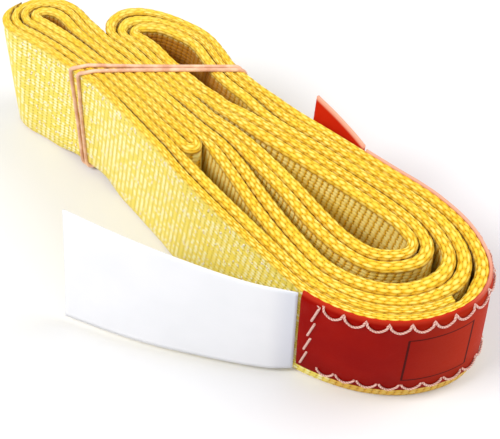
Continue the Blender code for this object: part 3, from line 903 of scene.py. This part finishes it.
def labelLook():
    # smooth close weave, shaded where it leaves the tag
    look = Look("whiteLabel", 0.48, Sheen_Weight=0.1)
    u, v = look.uv()
    threads = (u * 14.0).sin() * (v * 14.0).sin()
    cloud = look.noise(look.place(), 90.0, 3.0)
    colour = look.mix(cloud.step(0.3, 0.75) * 0.5, label["tone"], label["cloud"])
    # painted shade where the label leaves the tag
    colour = look.mix((1 - u.step(0.0, 5.0)) * 0.5, colour, label["rootShade"])
    return look.link(Base_Color=colour, Normal=look.bump(threads * 0.3 + cloud, 0.00005, 0.3))


blankLabel, labelLength = labelSheet()
finishPiece(blankLabel, "label", labelLook(), "label", "plain_label")
print("label", round(labelLength, 1), "mm long")

# Rubber band, two rounds changing sides on the back.
band = {"radius": 0.34, "sides": 10, "step": 0.3, "corner": 1.3, "cornerPoints": 9, "crossing": 1.2,
        "crossPoints": 16, "press": 0.12, "apart": 0.4, "cornerApart": 0.3, "cornerReach": 9.0,
        "frontReach": 3, "tone": srgb(248, 208, 174), "shade": srgb(216, 156, 120),
        "dust": srgb(248, 214, 186)}


def bandLine():
    # two laps of a rounded oblong in the slanting plane, one closed line that keeps off the front face
    face = web["outerHalf"] + band["radius"] - band["press"]
    reach = {-1: (laneY(0) - face - bandMiddle[1]) / bandAlong[1],
             1: (laneY(fold["backLane"]) + face - bandMiddle[1]) / bandAlong[1]}
    level = {-1: bandLie["below"] - band["radius"] + band["press"],
             1: web["width"] - bandLie["above"] + band["radius"] - band["press"]}
    r = band["corner"]
    turn = np.radians(np.linspace(0, -90, band["cornerPoints"]))
    laps = []
    for lap in (0, 1):
        side = 1 - 2 * lap
        for end, up, start in ((-1, -1, 270), (-1, 1, 180), (1, 1, 90), (1, -1, 0)):
            angle = np.radians(start) + turn
            side = -side if (end, up) == (1, -1) else side
            laps.append(np.column_stack([reach[end] + r * (np.cos(angle) - end),
                                         level[up] + r * (np.sin(angle) - up),
                                         np.full(len(angle), float(side))]))
            if (end, up) == (1, 1):
                share = np.linspace(0, 1, band["crossPoints"] + 2)[1:-1]
                drop = level[1] - r - (level[1] - level[-1] - 2 * r) * share
                over = reach[1] + band["crossing"] * lap * np.sin(np.pi * share) ** 2
                laps.append(np.column_stack([over, drop, side * (1 - 2 * ease(share))]))
    flat = evenLine(np.vstack([*laps, laps[0][:1]]), band["step"])[:-1]
    fromCorner = np.hypot(flat[:, 0] - reach[-1], flat[:, 1] - level[1])
    apart = band["apart"] + band["cornerApart"] * np.exp(-(fromCorner / band["cornerReach"]) ** 2)
    plan = bandMiddle + flat[:, :1] * bandAlong + (flat[:, 2] * apart)[:, None] * [1 / bandAcross[0], 0]
    sunk = plan[:, 1] - (np.interp(plan[:, 0], lapLine[::-1, 0], lapLine[::-1, 1]) - face)
    front = reach[-1] + band["frontReach"] - flat[:, 0]
    plan[:, 1] -= np.maximum(0, sunk) * ease(front / band["frontReach"])
    return np.column_stack([plan, flat[:, 1]])


def rubberLook():
    # clouded and dusty, with faint ribs along the band
    look = Look("tanRubber", 0.55)
    v = look.uv()[1]
    cloud = look.noise(look.place(), 500.0, 3.0)
    dust = look.noise(look.place(), 5000.0, 2.0)
    rib = (v * (2 * math.tau)).sin()
    colour = look.mix(cloud.step(0.25, 0.8), band["shade"], band["tone"])
    colour = look.mix(dust.step(0.5, 0.8) * 0.3, colour, band["dust"])
    return look.link(Base_Color=colour, Roughness=0.5 + dust * 0.2,
                     Normal=look.bump(rib * 0.2 + dust, 0.00005, 0.4))


bandPath = bandLine()
bandOutward = np.tile([*bandAcross, 0.0], (len(bandPath), 1))
rubberBand = tubeAlong("rubberBandDouble", bandPath, bandOutward, (band["radius"], band["radius"]),
                       band["sides"], closed=True)
finishPiece(rubberBand, "band", rubberLook(), "band", "rubber_band")
print("band done")

# Floor, light and camera.
studio = {
    "floor": 2.0,
    "floorDrop": 0.00004,
    "fade": (80, 300),
    "cloth": (0.79, 0.79, 0.8),
    "camera": (0.086044, -0.065496, 0.1557),
    "heading": (-0.7329, 0.6803),
    "pitch": 53.7,
    "focalPixels": 1034,
    "frameWidth": 500,
    "sensor": 36,
    "clipStart": 0.005,
    "sky": 0.6,
    "aim": (0, 0, 0.01),
    "key": {"place": (-0.13, -0.33, 0.48), "size": 0.24, "power": 2.2},
    "fill": {"place": (0.22, 0.28, 0.36), "size": 0.3, "power": 1.2},
}


def makeFloor():
    half = studio["floor"]
    corners = np.array([(-half, -half, 0), (half, -half, 0), (half, half, 0), (-half, half, 0)])
    verts = corners - [0, 0, studio["floorDrop"]]
    obj = meshFrom("floor", verts, np.array([[0, 1, 2, 3]]))
    look = Look("paleFloor", 0.7)
    cloud = look.noise(look.place(), 3.0, 2.0)
    colour = look.mix(cloud, studio["cloth"], tuple(x * 1.02 for x in studio["cloth"]))
    obj.data.materials.append(look.link(Base_Color=colour))
    # fades to plain white far from the object, for the camera only
    x, y, z = look.spot()
    far = (x * x + y * y).sqrt().step(*studio["fade"])
    ray = Wire(look.tree, look.make("ShaderNodeLightPath").outputs["Is Camera Ray"])
    glow = look.make("ShaderNodeEmission", Color=(1, 1, 1, 1), Strength=1.0)
    shown = look.make("ShaderNodeMixShader", n0=far * ray, n1=Wire(look.tree, look.shader.outputs[0]),
                      n2=Wire(look.tree, glow.outputs[0]))
    look.tree.links.new(shown.outputs[0], look.tree.nodes["Material Output"].inputs["Surface"])


def areaLight(name):
    lamp = studio[name]
    light = bpy.data.lights.new(name, "AREA")
    light.shape = "DISK"
    light.size = lamp["size"]
    light.energy = lamp["power"]
    obj = bpy.data.objects.new(name, light)
    obj.location = lamp["place"]
    obj.rotation_euler = (Vector(studio["aim"]) - Vector(lamp["place"])).to_track_quat("-Z", "Y").to_euler()
    bpy.context.scene.collection.objects.link(obj)


def makeSky():
    world = bpy.data.worlds.new("studio")
    world.use_nodes = True
    tree = world.node_tree
    back = tree.nodes["Background"]
    back.inputs["Color"].default_value = (1, 1, 1, 1)
    path = tree.nodes.new("ShaderNodeLightPath")
    ray = Wire(tree, path.outputs["Is Camera Ray"])
    tree.links.new((ray * (1 - studio["sky"]) + studio["sky"]).socket, back.inputs["Strength"])
    bpy.context.scene.world = world


def makeCamera():
    data = bpy.data.cameras.new("camera")
    data.lens = studio["focalPixels"] / studio["frameWidth"] * studio["sensor"]
    data.sensor_width = studio["sensor"]
    data.clip_start = studio["clipStart"]
    obj = bpy.data.objects.new("camera", data)
    pitch = math.radians(studio["pitch"])
    ahead, aside = studio["heading"]
    gaze = Vector((ahead * math.cos(pitch), aside * math.cos(pitch), -math.sin(pitch)))
    obj.location = studio["camera"]
    obj.rotation_euler = gaze.to_track_quat("-Z", "Y").to_euler()
    bpy.context.scene.collection.objects.link(obj)
    bpy.context.scene.camera = obj


makeFloor()
makeSky()
makeCamera()
areaLight("key")
areaLight("fill")
bpy.context.scene.view_settings.view_transform = "Standard"
